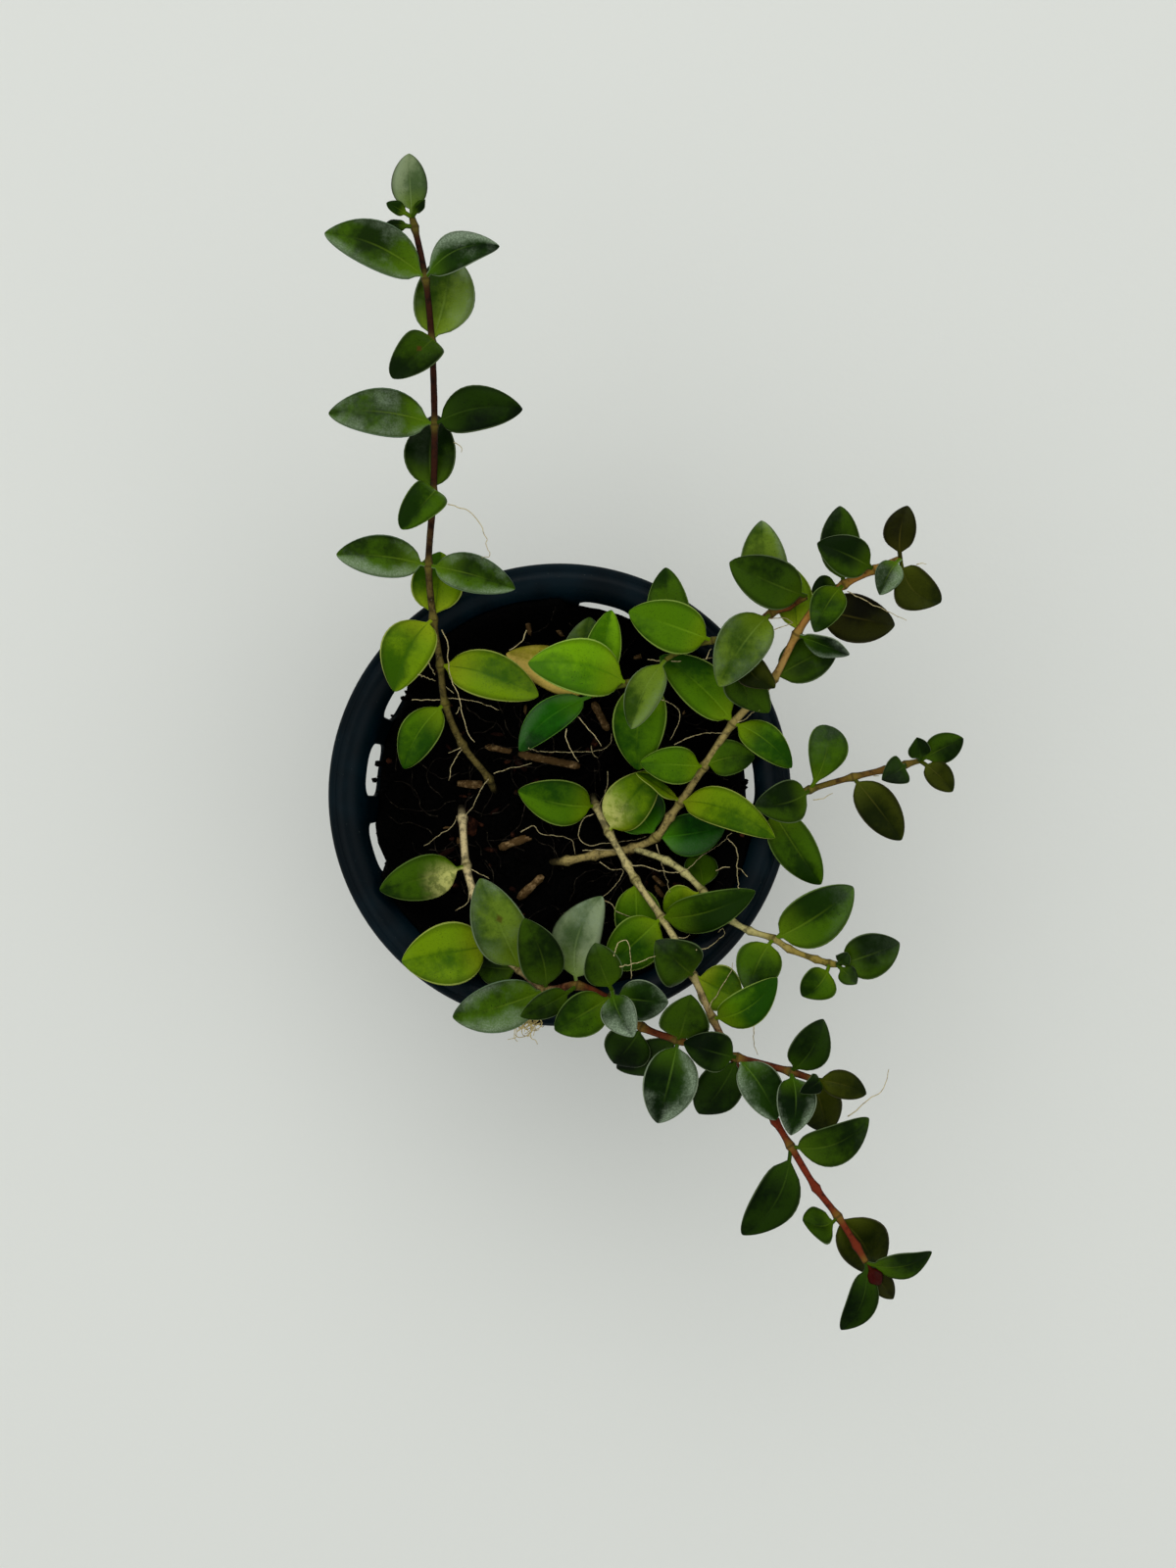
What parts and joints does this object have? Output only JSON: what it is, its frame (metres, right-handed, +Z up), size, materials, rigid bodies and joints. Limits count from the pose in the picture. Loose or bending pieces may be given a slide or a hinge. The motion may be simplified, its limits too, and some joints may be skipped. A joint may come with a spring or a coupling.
{
  "type": "potted dwarf rotala plant",
  "caption": "Trailing plant with thick, glossy, paired leaves on long wiry stems that run out over the rim of a round slotted nursery pot filled with peat.",
  "frame": {"origin": "centre of the flat underside of the pot", "axes": "+Z up, the way the pot stands; +Y towards the tip of the longest stem, the north stem; +X to the right of it seen from above, towards the east stem"},
  "size_m": [0.1592, 0.285, 0.1228],
  "materials": {
    "leaf_deep": "glossy, very dark green",
    "leaf_green": "glossy, mid green",
    "leaf_bright": "glossy, bright green",
    "leaf_lime": "glossy, yellow green",
    "leaf_grey": "glossy, grey green with a pale sheen",
    "leaf_bronze": "glossy, young bronze green",
    "old_stem": "matt, tan to olive bark with swollen nodes",
    "young_stem": "satin, red brown young stem",
    "pot": "satin, very dark blue green",
    "soil": "matt, black peat with bark sticks"
  },
  "bodies": {
    "root": {"north_leaf_01": "leaf_bright", "north_leaf_02": "leaf_lime", "north_leaf_03": "leaf_lime", "north_leaf_05": "leaf_bright", "north_leaf_06": "leaf_grey", "north_leaf_07": "leaf_green", "north_leaf_09": "leaf_green", "north_leaf_10": "leaf_green", "north_leaf_11": "leaf_deep", "north_leaf_13": "leaf_grey", "north_leaf_14": "leaf_green", "north_stem": "old_stem", "south_leaf_01": "leaf_green", "south_leaf_02": "leaf_lime", "south_leaf_03": "leaf_grey", "south_leaf_05": "leaf_deep", "south_leaf_06": "leaf_grey", "south_leaf_08": "leaf_grey", "south_leaf_11": "leaf_grey", "south_leaf_12": "leaf_deep", "south_leaf_15": "leaf_grey", "south_leaf_17": "leaf_deep", "south_stem": "old_stem", "south_shoot_leaf_01": "leaf_green", "south_shoot_stem": "young_stem", "southeast_leaf_01": "leaf_bright", "southeast_leaf_02": "leaf_lime", "southeast_leaf_04": "leaf_bright", "southeast_leaf_05": "leaf_green", "southeast_leaf_08": "leaf_bright", "southeast_leaf_09": "leaf_deep", "southeast_leaf_10": "leaf_green", "southeast_stem": "old_stem", "northeast_leaf_03": "leaf_lime", "northeast_leaf_05": "leaf_bright", "northeast_leaf_07": "leaf_bright", "northeast_leaf_08": "leaf_bright", "northeast_leaf_09": "leaf_green", "northeast_leaf_12": "leaf_bronze", "northeast_leaf_16": "leaf_deep", "northeast_stem": "old_stem", "lower_east_leaf_03": "leaf_green", "lower_east_leaf_04": "leaf_green", "lower_east_stem": "old_stem", "east_leaf_01": "leaf_green", "east_leaf_02": "leaf_green", "east_leaf_04": "leaf_bronze", "east_stem": "young_stem", "soil_shoot_leaf_01": "leaf_bright", "soil_shoot_leaf_02": "leaf_bright", "soil_shoot_leaf_06": "leaf_bright", "soil_shoot_stem": "young_stem", "top_shoot_leaf_03": "leaf_grey", "top_shoot_leaf_04": "leaf_grey", "top_shoot_leaf_05": "leaf_green", "top_shoot_stem": "young_stem", "rim_shoot_leaf_01": "leaf_bright", "rim_shoot_stem": "young_stem", "pot": "pot", "soil": "soil"}
  },
  "joints": []
}
